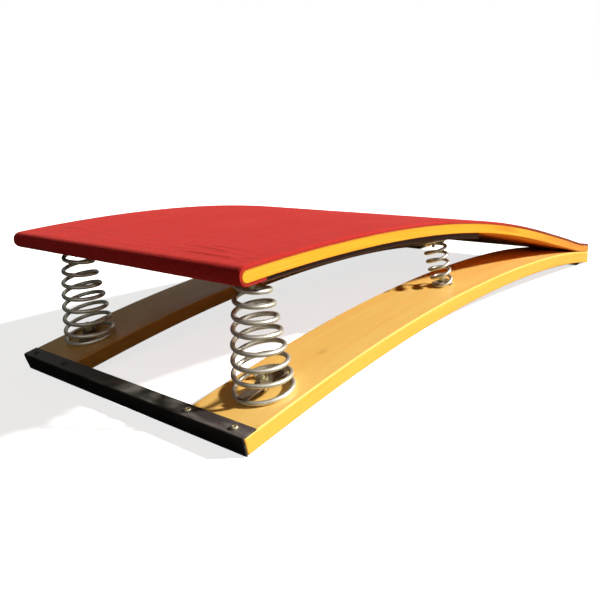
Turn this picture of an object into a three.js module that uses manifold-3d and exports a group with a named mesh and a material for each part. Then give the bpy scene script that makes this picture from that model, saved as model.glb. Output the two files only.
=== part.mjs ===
// Gymnastics springboard: a curved, carpeted deck carried by four coil springs on two arched
// wooden rails. Millimetres, +Z up. +Y runs from the high end (front, toe) to the low end
// (rear, heel). X runs across the board, with left at -X. The origin is on the floor, at the
// centre of the footprint.

import * as THREE from 'three';
import { mergeVertices } from 'three/addons/utils/BufferGeometryUtils.js';
import Module from 'manifold-3d';

const wasm = await Module();
wasm.setup();

// ---------------------------------------------------------------- driving dimensions
const HALF_LENGTH = 600;
const HALF_WIDTH = 300; // deck and rails are flush at the sides
const GAP = 0.2; // air between fitted pieces
const SHIFT_Y = 3.632; // moves the footprint's centre to the origin
const SIDES = [['left', -1], ['right', 1]];

const RAIL_WIDTH = 140;
const RAIL_THICK = 27.5;
const RAIL_FACETS = 18;
const RAIL_BEVEL = 2.5;
// underside height is (1 - s^2) times the polynomial with these coefficients, s = y / HALF_LENGTH
const RAIL_ARCH = [53.8, 3.4, 3.5, 6.6];

const FOOT = { length: 34, endInset: 4, sideInset: 14 };

const DECK_CURVE = [188.9, -107.7, -79.3, -8.6, 18.4, 13.3]; // underside, polynomial in s
const DECK_THICK = 18;
const DECK_BEVEL = 1.2;
const DECK_FRONT_Y = -580;
const DECK_NOSE_RADIUS = 8.5;
const DECK_NOSE_ANGLE_Y = -575; // the nose takes the deck's tilt here
const DECK_TAPER = { startY: 460, loss: 3.6 }; // the deck thins towards the low end
const HINGE_Y = 545; // front edge of the seat where deck and rails meet
const SEAT_GAP = 0.3;
const DECK_STATIONS = [
  -572, -536, -500, -460, -420, -380, -340, -300, -260, -220, -180, -140, -100, -60, -20,
  20, 60, 100, 140, 180, 220, 260, 300, 340, 380, 420, 460, 500, 530, HINGE_Y, 572, 600,
];

const CARPET_THICK = 5.3;
const CARPET_FOLD_END_Y = -537; // end of the part folded under the high end

const BATTEN = { thick: 12, width: 112, inset: 15, frontY: -535, rearY: 60, bevel: 1.5 };
const BATTEN_RELIEF = 0.1; // the underside stands this much above the spring heads' face

const ANGLE_BAR = { thick: 2.5, leg: 27, lowerEdge: 0.6, leftEnd: -HALF_WIDTH + 4 };
const ANGLE_BOLT_X = { inner: 171.5, outer: 271 };
const ANGLE_BOLT_SETBACK = 11; // from the rail's toe, along the rail
const ANGLE_BOLT_HOLE = 3.3;

const HEEL_SCREW_X = { inner: 192, outer: 268 };
const HEEL_SCREW_Y = 577;

// ---------------------------------------------------------------- springs and their fittings
// Turns are rows of [angle in degrees, rise]. The rises are scaled to the space between seats.
const FRONT_TURNS_RIGHT = [
  [103, 0], [403, 24], [763, 45], [1123, 68], [1483, 92],
  [1843, 112], [2203, 134], [2563, 154], [2755, 169.4],
];
// the left front spring is set in turned about half a coil
const FRONT_TURNS_LEFT = [
  [239, 0], [389, 12], [749, 34], [1109, 58], [1469, 80],
  [1829, 102], [2189, 124], [2549, 147], [2850, 169.4],
];
const REAR_TURNS = [
  [-71, 0], [43, 10.5], [403, 28.3], [763, 46.1],
  [1123, 63.9], [1483, 81.7], [1663, 90.6], [1790, 100],
];
const DEAD_TURN = 258; // degrees of flat coil at each end
const SEAT_AIR = 0.25; // between an end coil and its seat
const LEAN_EASE = 0.15; // share of the height over which the lean fades at each end
const WIRE_SIDES = 5;

// base and top are the places of the spring's ends; mean radii run from base to top plus a
// bulge; wound is the direction of the coil; lean is in radians; strap turns are degrees from
// the end of the rising coil; flats are nut sizes across flats
const FRONT_SPRING = {
  end: 'front',
  wire: 7.6,
  base: { x: 235, y: -499 },
  top: { x: 232, y: -502 },
  radius: { base: 44.5, top: 21.6, bulge: 10.2 },
  turns: { left: FRONT_TURNS_LEFT, right: FRONT_TURNS_RIGHT },
  wound: -1,
  lean: { roll: 0, tilt: 0 },
  segmentsPerTurn: 14,
  railBolt: { radius: 5, aboveStrap: 17 },
  counterbore: { radius: 12, top: -18 },
  baseStrap: { thick: 3, width: 20, turn: 13 },
  washerRadius: 13,
  baseNut: { flats: 17, height: 8.4 },
  deckBoltRadius: 4,
  topStrap: { overhang: 0.5, width: 11, turn: 19 },
  topNut: { flats: 13, height: 6.5 },
};
const REAR_SPRING = {
  end: 'rear',
  wire: 6,
  base: { x: 239, y: -3 },
  top: { x: 232.5, y: -18 },
  radius: { base: 17.9, top: 20.2, bulge: 0 },
  turns: { left: REAR_TURNS, right: REAR_TURNS },
  wound: 1,
  lean: { roll: 0.123, tilt: 0.184 },
  segmentsPerTurn: 12,
  railBolt: { radius: 4, aboveStrap: 12 },
  counterbore: { radius: 10, top: -19 },
  baseStrap: { thick: 2, width: 12, turn: 19 },
  washerRadius: 9,
  baseNut: { flats: 13, height: 6.5 },
  deckBoltRadius: 3,
  topStrap: { overhang: 0, width: 9, turn: 25 },
  topNut: { flats: 10, height: 5 },
};
const RAIL_HOLE_CLEARANCE = 0.4;
const BOLT_CLEARANCE = 0.3; // deck, batten, straps and washers
const NUT_CLEARANCE = 0.2;
const STRAP_CHAMFER = 3;
const TOP_STRAP_THICK = 2;
const WASHER_THICK = 1.6;
const DECK_BOLT_HEAD = 1.9; // countersunk head radius over bolt radius
const PANEL_TOP = BATTEN.thick + GAP + DECK_THICK; // deck's top above the battens' underside

// ---------------------------------------------------------------- profile curves, Y-Z plane
const polynomial = (coefficients, s) => coefficients.reduce((sum, k, i) => sum + k * s ** i, 0);
const tiltOf = (curve, y) => Math.atan(curve(y + 0.5) - curve(y - 0.5));

function railBottomZ(y) {
  const s = y / HALF_LENGTH;
  return (1 - s * s) * polynomial(RAIL_ARCH, s);
}
const railAngle = (y) => tiltOf(railBottomZ, y);

const deckCurveZ = (y) => polynomial(DECK_CURVE, y / HALF_LENGTH);
const deckAngle = (y) => tiltOf(deckCurveZ, y);

// A frame is { y, z, angle }: a point on a face and the face's tilt about X.
// This one is on the rail's top face; the loop finds the underside point square below it.
function railTopFrame(y) {
  let bottomY = y;
  for (let i = 0; i < 12; i++) bottomY = y + RAIL_THICK * Math.sin(railAngle(bottomY));
  const angle = railAngle(bottomY);
  return { y, z: railBottomZ(bottomY) + RAIL_THICK * Math.cos(angle), angle };
}

// the deck follows its curve, then rests on the rails behind the hinge line
function deckBottomZ(y) {
  if (y < HINGE_Y) return deckCurveZ(y);
  return Math.max(deckCurveZ(y), railTopFrame(y).z + SEAT_GAP);
}

// moves a [y, z] point square to a face tilted by angle
function offset([y, z], angle, distance) {
  return [y - distance * Math.sin(angle), z + distance * Math.cos(angle)];
}

// underside of the batten below the deck curve at deckY
function battenFrame(deckY) {
  const angle = deckAngle(deckY);
  const [y, z] = offset([deckY, deckCurveZ(deckY)], angle, -(BATTEN.thick + GAP));
  return { y, z, angle };
}

// point on the segment a-b at y, extended beyond its ends
const zOnLine = ([ay, az], [by, bz], y) => az + ((y - ay) / (by - ay)) * (bz - az);

function zOnPath(points, y) {
  const i = points.findIndex(([pointY], index) => index > 0 && y <= pointY);
  return zOnLine(points[i - 1], points[i], y);
}

// brings a path's last point upright over the board's low end
function trimAtHeel(points) {
  const [before, last] = points.slice(-2);
  return [...points.slice(0, -1), [HALF_LENGTH, zOnLine(before, last, HALF_LENGTH)]];
}

const railStations = Array.from(
  { length: RAIL_FACETS + 1 },
  (_, i) => -HALF_LENGTH + (2 * HALF_LENGTH * i) / RAIL_FACETS,
);
const railBottom = railStations.map((y) => [y, railBottomZ(y)]);
const toeAngle = Math.atan2(
  railBottom[1][1] - railBottom[0][1],
  railBottom[1][0] - railBottom[0][0],
);
const deckBottom = DECK_STATIONS.map((y) => [y, deckBottomZ(y)]);

// on the underside of the rail's first facet, at a distance from the toe
const toeFrame = (distance) => ({
  y: -HALF_LENGTH + distance * Math.cos(toeAngle),
  z: distance * Math.sin(toeAngle),
  angle: toeAngle,
});
const heelScrewFrame = railTopFrame(HEEL_SCREW_Y);
const springs = [FRONT_SPRING, REAR_SPRING].map((spec) => ({
  ...spec,
  foot: railTopFrame(spec.base.y),
  head: battenFrame(spec.top.y),
}));

// ---------------------------------------------------------------- geometry helpers
// welds a geometry's vertices and turns its faces outward if they point in
function outward(geometry) {
  const source = geometry.index ? geometry.toNonIndexed() : geometry;
  const position = source.attributes.position;
  const a = new THREE.Vector3();
  const b = new THREE.Vector3();
  const c = new THREE.Vector3();
  let volume = 0;
  for (let i = 0; i < position.count; i += 3) {
    a.fromBufferAttribute(position, i);
    b.fromBufferAttribute(position, i + 1);
    c.fromBufferAttribute(position, i + 2);
    volume += a.dot(b.cross(c));
  }
  if (volume < 0) {
    for (let i = 0; i < position.count; i += 3) {
      b.fromBufferAttribute(position, i + 1);
      c.fromBufferAttribute(position, i + 2);
      position.setXYZ(i + 1, c.x, c.y, c.z);
      position.setXYZ(i + 2, b.x, b.y, b.z);
    }
  }
  const clean = new THREE.BufferGeometry();
  clean.setAttribute('position', position);
  return mergeVertices(clean, 1e-4);
}

function toManifold(geometry) {
  const welded = outward(geometry);
  return new wasm.Manifold(new wasm.Mesh({
    numProp: 3,
    vertProperties: new Float32Array(welded.attributes.position.array),
    triVerts: new Uint32Array(welded.index.array),
  }));
}

function cut(geometry, tools) {
  let body = toManifold(geometry);
  for (const tool of tools) body = body.subtract(toManifold(tool));
  const mesh = body.getMesh();
  const result = new THREE.BufferGeometry();
  const vertices = new Float32Array(mesh.vertProperties);
  result.setAttribute('position', new THREE.BufferAttribute(vertices, 3));
  result.setIndex(new THREE.BufferAttribute(new Uint32Array(mesh.triVerts), 1));
  return result;
}

const toVectors = (points) => points.map(([x, y]) => new THREE.Vector2(x, y));

// a side profile of [y, z] points extruded across X, with an optional edge bevel
function across(points, [x0, x1], bevel = 0) {
  const geometry = new THREE.ExtrudeGeometry(new THREE.Shape(toVectors(points)), {
    depth: x1 - x0 - 2 * bevel,
    bevelEnabled: bevel > 0,
    bevelThickness: bevel,
    bevelSize: bevel,
    bevelOffset: -bevel,
    bevelSegments: 1,
    steps: 1,
  });
  geometry.applyMatrix4(new THREE.Matrix4().makeBasis(
    new THREE.Vector3(0, 1, 0),
    new THREE.Vector3(0, 0, 1),
    new THREE.Vector3(1, 0, 0),
  ));
  return geometry.translate(x0 + bevel, 0, 0);
}

// X range of a strip of the given width, set in from one side of the board
function sideSpan(sign, inset, width) {
  const outer = HALF_WIDTH - inset;
  const inner = outer - width;
  return sign > 0 ? [inner, outer] : [-outer, -inner];
}

function polygon(radius, count, turn = 0) {
  return Array.from({ length: count }, (_, i) => {
    const angle = (2 * Math.PI * (i + turn)) / count;
    return new THREE.Vector2(radius * Math.cos(angle), radius * Math.sin(angle));
  });
}

// a flat plate with an eight-sided centre hole, from z0 to z1
function plate(outline, bore, z0, z1) {
  const shape = new THREE.Shape(outline);
  shape.holes.push(new THREE.Path(polygon(bore, 8, 0.5)));
  const options = { depth: z1 - z0, bevelEnabled: false, steps: 1 };
  return new THREE.ExtrudeGeometry(shape, options).translate(0, 0, z0);
}
const nut = (flats, bore, z0, z1) => plate(polygon(flats / Math.sqrt(3), 6), bore, z0, z1);
const washer = (radius, bore, z0, z1) => plate(polygon(radius, 16, 0.5), bore, z0, z1);

// a straight strap with chamfered corners, its length along the given angle
function strap(length, width, bore, z0, z1, angle) {
  const endX = length / 2;
  const sideY = width / 2;
  const cornerX = endX - STRAP_CHAMFER;
  const cornerY = sideY - STRAP_CHAMFER;
  const outline = toVectors([
    [-cornerX, -sideY], [cornerX, -sideY], [endX, -cornerY], [endX, cornerY],
    [cornerX, sideY], [-cornerX, sideY], [-endX, cornerY], [-endX, -cornerY],
  ]);
  return plate(outline, bore, z0, z1).rotateZ(angle);
}

// an eight-sided turned piece from a profile of [radius, height], standing on Z
function turned(profile) {
  return new THREE.LatheGeometry(toVectors(profile), 8, Math.PI / 8, Math.PI * 2)
    .rotateX(Math.PI / 2);
}
const drill = (radius, z0, z1) => turned([[0, z0], [radius, z0], [radius, z1], [0, z1]]);

const placed = (geometry, x, { y, z, angle }) => geometry.rotateX(angle).translate(x, y, z);

// ---------------------------------------------------------------- materials
const standard = (look) => () => new THREE.MeshStandardMaterial(look);
const railWood = standard({ color: 0xdca24c, roughness: 0.38, metalness: 0 });
const deckWood = standard({ color: 0xe8b23a, roughness: 0.32, metalness: 0 });
const battenWood = standard({ color: 0x6b4a24, roughness: 0.55, metalness: 0 });
const carpetRed = standard({ color: 0xb81f22, roughness: 0.95, metalness: 0 });
const blackPaint = standard({ color: 0x17171a, roughness: 0.45, metalness: 0.2 });
const springSteel = standard({ color: 0xb9bab6, roughness: 0.35, metalness: 0.9 });
const zincSteel = standard({ color: 0xc2b98f, roughness: 0.4, metalness: 0.9 });
const blackRubber = standard({ color: 0x1b1b1b, roughness: 0.9, metalness: 0 });

// ---------------------------------------------------------------- assembly helpers
const board = new THREE.Group();
board.position.set(0, SHIFT_Y, 0);

function add(parent, name, geometry, material) {
  const mesh = new THREE.Mesh(outward(geometry), material);
  mesh.name = name;
  parent.add(mesh);
}

// a group whose local Z is the normal of the frame's face
function seat(x, { y, z, angle }) {
  const group = new THREE.Group();
  group.position.set(x, y, z);
  group.rotation.x = angle;
  board.add(group);
  return group;
}

// ---------------------------------------------------------------- rails and feet
function addRail(side, sign) {
  const top = trimAtHeel(railBottom.map(
    ([y, z], i) => offset([y, z], i === 0 ? toeAngle : railAngle(y), RAIL_THICK),
  ));
  const tools = [];
  for (const x of Object.values(ANGLE_BOLT_X)) {
    const frame = toeFrame(ANGLE_BOLT_SETBACK);
    tools.push(placed(drill(ANGLE_BOLT_HOLE, -5, 40), sign * x, frame));
    tools.push(placed(drill(8, -6, 8), sign * x, frame));
  }
  for (const { base, foot, railBolt, counterbore } of springs) {
    const hole = drill(railBolt.radius + RAIL_HOLE_CLEARANCE, -45, 5);
    tools.push(placed(hole, sign * base.x, foot));
    tools.push(placed(drill(counterbore.radius, -40, counterbore.top), sign * base.x, foot));
  }
  for (const x of Object.values(HEEL_SCREW_X)) {
    tools.push(placed(drill(3.3, -45, 5), sign * x, heelScrewFrame));
    tools.push(placed(drill(7, -45, -19), sign * x, heelScrewFrame));
  }
  const profile = [...railBottom, ...top.reverse()];
  const body = across(profile, sideSpan(sign, 0, RAIL_WIDTH), RAIL_BEVEL);
  add(board, `rail_${side}`, cut(body, tools), railWood());
}

// rubber wedges under both ends of a rail, flat on the floor
function addFeet(side, sign) {
  const span = sideSpan(sign, FOOT.sideInset, RAIL_WIDTH - 2 * FOOT.sideInset);
  const frontY = -HALF_LENGTH + FOOT.endInset;
  const rearY = HALF_LENGTH - FOOT.endInset - FOOT.length;
  for (const [end, y0] of [['front', frontY], ['rear', rearY]]) {
    const y1 = y0 + FOOT.length;
    const z0 = zOnPath(railBottom, y0) - GAP;
    const z1 = zOnPath(railBottom, y1) - GAP;
    const profile = [[y0, 0], [y1, 0], [y1, z1], [y0, z0]];
    add(board, `foot_${end}_${side}`, across(profile, span), blackRubber());
  }
}

// ---------------------------------------------------------------- steel angle at the high end
// in the toe's frame: local Y runs along the rail, local Z is square to it
function addAngleBar() {
  const { thick, leg, lowerEdge, leftEnd } = ANGLE_BAR;
  const inside = RAIL_THICK + GAP;
  const profile = [
    [-GAP - thick, lowerEdge], [-GAP, lowerEdge], [-GAP, inside],
    [leg - thick, inside], [leg - thick, inside + thick], [-GAP - thick, inside + thick],
  ];
  const tools = [];
  for (const [, sign] of SIDES) {
    for (const x of Object.values(ANGLE_BOLT_X)) {
      const frame = { y: ANGLE_BOLT_SETBACK, z: 0, angle: 0 };
      tools.push(placed(drill(ANGLE_BOLT_HOLE, 20, 40), sign * x, frame));
    }
  }
  // the lower corner of the left end is cut out of square
  const corner = toVectors([[leftEnd - 1, -1], [leftEnd + 8, -1], [leftEnd - 1, 24]]);
  const trim = new THREE.ExtrudeGeometry(new THREE.Shape(corner), {
    depth: 8,
    bevelEnabled: false,
  });
  tools.push(trim.rotateX(Math.PI / 2).translate(0, 3, 0));
  const body = across(profile, [leftEnd, HALF_WIDTH]);
  add(seat(0, toeFrame(0)), 'front_angle_bar', cut(body, tools), blackPaint());
}

function addAngleBolts(side, sign) {
  const top = RAIL_THICK + ANGLE_BAR.thick + 2 * GAP;
  // shank, domed head and the recess in it
  const bolt = [
    [0, 1.4], [3, 1.4], [3, top], [5.4, top], [5.4, top + 0.8],
    [3.9, top + 2.7], [2.1, top + 3.3], [2.1, top + 1.4], [0, top + 1.4],
  ];
  for (const [place, x] of Object.entries(ANGLE_BOLT_X)) {
    const group = seat(sign * x, toeFrame(ANGLE_BOLT_SETBACK));
    add(group, `angle_bolt_${side}_${place}`, turned(bolt), zincSteel());
    add(group, `angle_nut_${side}_${place}`, nut(10, 3.2, 2.6, 7.7), zincSteel());
  }
}

// ---------------------------------------------------------------- coil springs
class SpringPath extends THREE.Curve {
  constructor(spring, turns, sign) {
    super();
    const [lastAngle, rise] = turns.at(-1);
    Object.assign(this, { spring, turns, sign, rise });
    this.arcLengthDivisions = 1200;
    this.start = turns[0][0] - DEAD_TURN;
    this.end = lastAngle + DEAD_TURN;
    // ends of the coil's axis, half a wire and a hair of air off the two seats
    const { foot, head } = spring;
    const lift = spring.wire / 2 + SEAT_AIR;
    this.axisBase = offset([foot.y, foot.z], foot.angle, lift);
    this.axisTop = offset([head.y, head.z], head.angle, -lift);
  }

  // share of the full rise reached at an angle
  height(degrees) {
    const { turns, rise } = this;
    if (degrees <= turns[0][0]) return 0;
    const i = turns.findIndex(([angle]) => degrees <= angle);
    return i < 0 ? 1 : zOnLine(turns[i - 1], turns[i], degrees) / rise;
  }

  // axis Y, midway between a straight line and a cubic that leaves both seats squarely
  axisY(h) {
    const { spring: { foot, head }, axisBase: [y0, z0], axisTop: [y1, z1] } = this;
    const reach = Math.hypot(y1 - y0, z1 - z0) * 0.5;
    const cubic = (2 * h ** 3 - 3 * h ** 2 + 1) * y0
      - (h ** 3 - 2 * h ** 2 + h) * Math.sin(foot.angle) * reach
      + (3 * h ** 2 - 2 * h ** 3) * y1
      - (h ** 3 - h ** 2) * Math.sin(head.angle) * reach;
    return 0.5 * (y0 + (y1 - y0) * h + cubic);
  }

  getPoint(u, target = new THREE.Vector3()) {
    const { lerp, smoothstep, degToRad } = THREE.MathUtils;
    const { spring, sign } = this;
    const { base, top, foot, head, radius, lean } = spring;
    const degrees = this.start + u * (this.end - this.start);
    const h = this.height(degrees);
    const ease = smoothstep(h, 0, LEAN_EASE) * smoothstep(1 - h, 0, LEAN_EASE);
    const tilt = lerp(foot.angle, head.angle, h) + lean.tilt * ease;
    const roll = sign * lean.roll * ease;
    const coil = lerp(radius.base, radius.top, h) + radius.bulge * h * (1 - h);
    const phi = degToRad(spring.wound * degrees);
    const alongX = coil * Math.cos(phi);
    const alongY = coil * Math.sin(phi);
    return target.set(
      sign * lerp(base.x, top.x, h) + alongX * Math.cos(roll),
      this.axisY(h) + alongY * Math.cos(tilt),
      lerp(this.axisBase[1], this.axisTop[1], h)
        + alongY * Math.sin(tilt) + alongX * Math.sin(roll),
    );
  }
}

function springCoil(spring, turns, sign) {
  const path = new SpringPath(spring, turns, sign);
  return new THREE.ExtrudeGeometry(new THREE.Shape(polygon(spring.wire / 2, WIRE_SIDES)), {
    steps: Math.round(((path.end - path.start) / 360) * spring.segmentsPerTurn),
    bevelEnabled: false,
    extrudePath: path,
  });
}

// height of a strap's inner face off the seat, clear of the end coil
const strapClearance = (spring) => spring.wire + 2 * SEAT_AIR + GAP;

// strap over the bottom coil, bolt up through the rail, washer and nut
function addSpringFoot(spring, turns, label, sign) {
  const { base, foot, radius, railBolt, counterbore, baseStrap, baseNut } = spring;
  const group = seat(sign * base.x, foot);
  const bolt = railBolt.radius;
  const bore = bolt + BOLT_CLEARANCE;

  const strapBottom = strapClearance(spring);
  const strapTop = strapBottom + baseStrap.thick;
  const strapAngle = THREE.MathUtils.degToRad(spring.wound * (turns[0][0] - baseStrap.turn));
  const length = 2 * (radius.base + 2);
  const strapPlate = strap(length, baseStrap.width, bore, strapBottom, strapTop, strapAngle);
  add(group, `spring_strap_${label}`, strapPlate, zincSteel());

  const headTop = counterbore.top - 0.3;
  const tip = strapTop + railBolt.aboveStrap;
  const profile = [
    [0, headTop - 6], [bolt * 1.7, headTop - 6], [bolt * 1.8, headTop - 1],
    [bolt * 1.8, headTop], [bolt, headTop], [bolt, tip - 1], [bolt - 1, tip], [0, tip],
  ];
  add(group, `spring_bolt_${label}`, turned(profile), zincSteel());

  const washerBottom = strapTop + GAP;
  const washerTop = washerBottom + WASHER_THICK;
  const ring = washer(spring.washerRadius, bore, washerBottom, washerTop);
  add(group, `spring_washer_${label}`, ring, zincSteel());

  const nutBottom = washerTop + GAP;
  const nutTop = nutBottom + baseNut.height;
  const hexNut = nut(baseNut.flats, bolt + NUT_CLEARANCE, nutBottom, nutTop);
  add(group, `spring_nut_${label}`, hexNut, zincSteel());
}

// strap under the top coil, countersunk bolt down through deck and batten, nut
function addSpringHead(spring, turns, label, sign) {
  const { top, head, radius, topStrap, topNut, deckBoltRadius: bolt } = spring;
  const group = seat(sign * top.x, head);

  const strapTop = -strapClearance(spring);
  const strapBottom = strapTop - TOP_STRAP_THICK;
  const strapAngle = THREE.MathUtils.degToRad(spring.wound * (turns.at(-1)[0] + topStrap.turn));
  const length = 2 * (radius.top + topStrap.overhang);
  const bore = bolt + BOLT_CLEARANCE;
  const strapPlate = strap(length, topStrap.width, bore, strapBottom, strapTop, strapAngle);
  add(group, `top_strap_${label}`, strapPlate, zincSteel());

  const tip = strapTop - 13;
  const headRadius = bolt * DECK_BOLT_HEAD;
  const profile = [
    [0, tip], [bolt, tip], [bolt, PANEL_TOP - 6],
    [headRadius, PANEL_TOP - 1.6], [headRadius, PANEL_TOP - 0.6], [0, PANEL_TOP - 0.6],
  ];
  add(group, `top_bolt_${label}`, turned(profile), zincSteel());

  const nutTop = strapBottom - GAP;
  const hexNut = nut(topNut.flats, bolt + NUT_CLEARANCE, nutTop - topNut.height, nutTop);
  add(group, `top_nut_${label}`, hexNut, zincSteel());
}

function addSpring(spring, side, sign) {
  const label = `${spring.end}_${side}`;
  const turns = spring.turns[side];
  add(board, `spring_${label}`, springCoil(spring, turns, sign), springSteel());
  addSpringFoot(spring, turns, label, sign);
  addSpringHead(spring, turns, label, sign);
}

// ---------------------------------------------------------------- deck and carpet
// upper face at a distance above the underside, behind the nose
function deckUpper(distance) {
  return trimAtHeel(deckBottom.slice(1).map(([y, z]) => {
    const along = (y - DECK_TAPER.startY) / (HALF_LENGTH - DECK_TAPER.startY);
    return offset([y, z], deckAngle(y), distance - Math.max(0, along) * DECK_TAPER.loss);
  }));
}

// rounded nose of the high end, grown outward, from the bottom face round to the top face
function deckNose(growth) {
  const inner = DECK_NOSE_RADIUS;
  const outer = inner + growth;
  const angle = deckAngle(DECK_NOSE_ANGLE_Y);
  const cos = Math.cos(angle);
  const sin = Math.sin(angle);
  const originZ = deckBottomZ(DECK_FRONT_Y + inner) - Math.tan(angle) * inner;
  const points = [];
  for (const [startAngle, centreHeight] of [[-Math.PI / 2, inner], [Math.PI, DECK_THICK - inner]]) {
    for (let i = 0; i <= 4; i++) {
      const turn = startAngle - (i * Math.PI) / 8;
      const along = inner + outer * Math.cos(turn);
      const up = centreHeight + outer * Math.sin(turn);
      points.push([DECK_FRONT_Y + along * cos - up * sin, originZ + along * sin + up * cos]);
    }
  }
  return points;
}

function addDeckPanel() {
  const tools = [];
  for (const [, sign] of SIDES) {
    for (const { top, head, deckBoltRadius } of springs) {
      const hole = deckBoltRadius + BOLT_CLEARANCE;
      const sink = deckBoltRadius * DECK_BOLT_HEAD + 0.4;
      const countersink = [
        [0, PANEL_TOP - 6.6], [hole, PANEL_TOP - 6.6], [sink, PANEL_TOP - 2.2],
        [sink, PANEL_TOP + 6], [0, PANEL_TOP + 6],
      ];
      tools.push(placed(drill(hole, -5, 60), sign * top.x, head));
      tools.push(placed(turned(countersink), sign * top.x, head));
    }
    for (const x of Object.values(HEEL_SCREW_X)) {
      tools.push(placed(drill(4.9, -6, 13), sign * x, heelScrewFrame));
    }
  }
  const profile = [
    ...deckNose(0).reverse(),
    ...deckBottom.slice(1),
    ...deckUpper(DECK_THICK).reverse(),
  ];
  const body = across(profile, [-HALF_WIDTH, HALF_WIDTH], DECK_BEVEL);
  add(board, 'deck_panel', cut(body, tools), deckWood());
}

// over the deck, round the high end and folded under
function addCarpet() {
  const inner = GAP;
  const outer = GAP + CARPET_THICK;
  const y = CARPET_FOLD_END_Y;
  const foldEnd = (depth) => offset([y, zOnPath(deckBottom, y)], deckAngle(y), -depth);
  const profile = [
    ...deckUpper(DECK_THICK + outer).reverse(),
    ...deckNose(outer).reverse(),
    foldEnd(outer),
    foldEnd(inner),
    ...deckNose(inner),
    ...deckUpper(DECK_THICK + inner),
  ];
  add(board, 'carpet_cover', across(profile, [-HALF_WIDTH, HALF_WIDTH]), carpetRed());
}

// ---------------------------------------------------------------- battens and heel screws
// a batten under the deck takes the springs of one side
function addBatten(side, sign) {
  const { thick, width, inset, frontY, rearY, bevel } = BATTEN;
  const stations = [frontY, ...DECK_STATIONS.filter((y) => y > frontY && y < rearY), rearY];
  const below = (depth) => stations.map(
    (y) => offset([y, zOnPath(deckBottom, y)], deckAngle(y), -depth),
  );
  const profile = [...below(GAP + thick - BATTEN_RELIEF), ...below(GAP).reverse()];
  const tools = springs.map(({ top, head, deckBoltRadius }) => (
    placed(drill(deckBoltRadius + BOLT_CLEARANCE, -20, 40), sign * top.x, head)
  ));
  const body = across(profile, sideSpan(sign, inset, width), bevel);
  add(board, `batten_${side}`, cut(body, tools), battenWood());
}

// up through the rail's heel into the deck
function addHeelScrews(side, sign) {
  const profile = [
    [0, -23.5], [5.6, -23.5], [5.8, -20.5], [5.8, -19.3],
    [3, -19.3], [3, 8], [0.8, 11], [0, 11],
  ];
  for (const [place, x] of Object.entries(HEEL_SCREW_X)) {
    const group = seat(sign * x, heelScrewFrame);
    add(group, `heel_screw_${side}_${place}`, turned(profile), zincSteel());
  }
}

// ---------------------------------------------------------------- assembly
for (const [side, sign] of SIDES) {
  addRail(side, sign);
  addFeet(side, sign);
}
addAngleBar();
for (const [side, sign] of SIDES) addAngleBolts(side, sign);
for (const [side, sign] of SIDES) {
  for (const spring of springs) addSpring(spring, side, sign);
}
addDeckPanel();
addCarpet();
for (const [side, sign] of SIDES) {
  addBatten(side, sign);
  addHeelScrews(side, sign);
}

export default board;
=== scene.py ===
"""A gymnastics springboard: a carpeted wooden deck on two arched rails, held up by four springs.

X runs across the board and Y along it: the deck is high at the front (-Y) and meets the rails
at the rear (+Y). The floor is at Z = 0. Sizes are in millimetres until a mesh is made; materials,
lights and the camera are in metres.
"""

import math
from types import SimpleNamespace

import bmesh
import bpy
import numpy as np
from mathutils import Matrix, Vector


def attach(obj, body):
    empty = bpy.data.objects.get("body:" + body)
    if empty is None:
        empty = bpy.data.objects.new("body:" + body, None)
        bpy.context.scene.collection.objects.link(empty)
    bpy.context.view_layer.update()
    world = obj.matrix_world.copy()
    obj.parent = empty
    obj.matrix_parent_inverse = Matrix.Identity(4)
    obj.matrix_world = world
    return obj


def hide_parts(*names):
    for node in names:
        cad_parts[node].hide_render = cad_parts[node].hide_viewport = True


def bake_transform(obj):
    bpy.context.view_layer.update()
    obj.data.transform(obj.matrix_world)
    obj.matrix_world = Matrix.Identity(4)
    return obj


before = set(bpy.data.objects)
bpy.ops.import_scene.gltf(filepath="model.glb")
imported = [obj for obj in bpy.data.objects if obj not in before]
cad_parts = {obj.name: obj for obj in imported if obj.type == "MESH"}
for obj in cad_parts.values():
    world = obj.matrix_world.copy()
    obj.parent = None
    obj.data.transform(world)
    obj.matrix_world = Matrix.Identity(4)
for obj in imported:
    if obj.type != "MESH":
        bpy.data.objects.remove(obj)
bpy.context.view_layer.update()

# ---------------------------------------------------------------- driving sizes
MM = 0.001
SHIFT = 3.632                 # added to every y when a mesh is made
HALF = 600.0                  # half the board's length
HALF_W = 300.0                # half its width
GAP = 0.2                     # clearance between touching parts
SEAT_GAP = 0.3                # between deck and rail, and between a bolt head and its shelf

RAIL_W, RAIL_T = 140.0, 27.5
ARCH = (53.8, 3.4, 3.5, 6.6)  # rail underside: powers of y / HALF, times 1 - (y / HALF)^2
DECK = (188.9, -107.7, -79.3, -8.6, 18.4, 13.3)     # deck underside: powers of y / HALF
DECK_T = 18.0
NOSE_Y, NOSE_R = -580.0, 8.5  # rounded high end of the deck
TAPER_Y, TAPER = 460.0, 3.6   # the deck thins by TAPER from TAPER_Y to the low end
HINGE = 545.0                 # just in front of here the deck comes to rest on the rails
BATTEN_T, BATTEN_W, BATTEN_IN = 12.0, 112.0, 15.0
CARPET_T = 5.3
CARPET_FOLD_Y = -537.0        # the folded-under carpet stops here

ANGLE_T = 2.5                 # steel angle
ANGLE_Z = RAIL_T + GAP        # underside of its top flange, above the toe of the rail
ANGLE_BOLT_Y = 11.0           # its bolts, measured along the toe
ANGLE_BOLTS = {"inner": 171.5, "outer": 271.0}      # x of each
HEEL_SCREWS = {"inner": 192.0, "outer": 268.0}      # x of each
HEEL_Y = 577.0
HEEL_SHELF = -19.0            # bottom of the screw hole's narrow part, from the rail's top
SIDES = {"left": -1, "right": 1}

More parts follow.
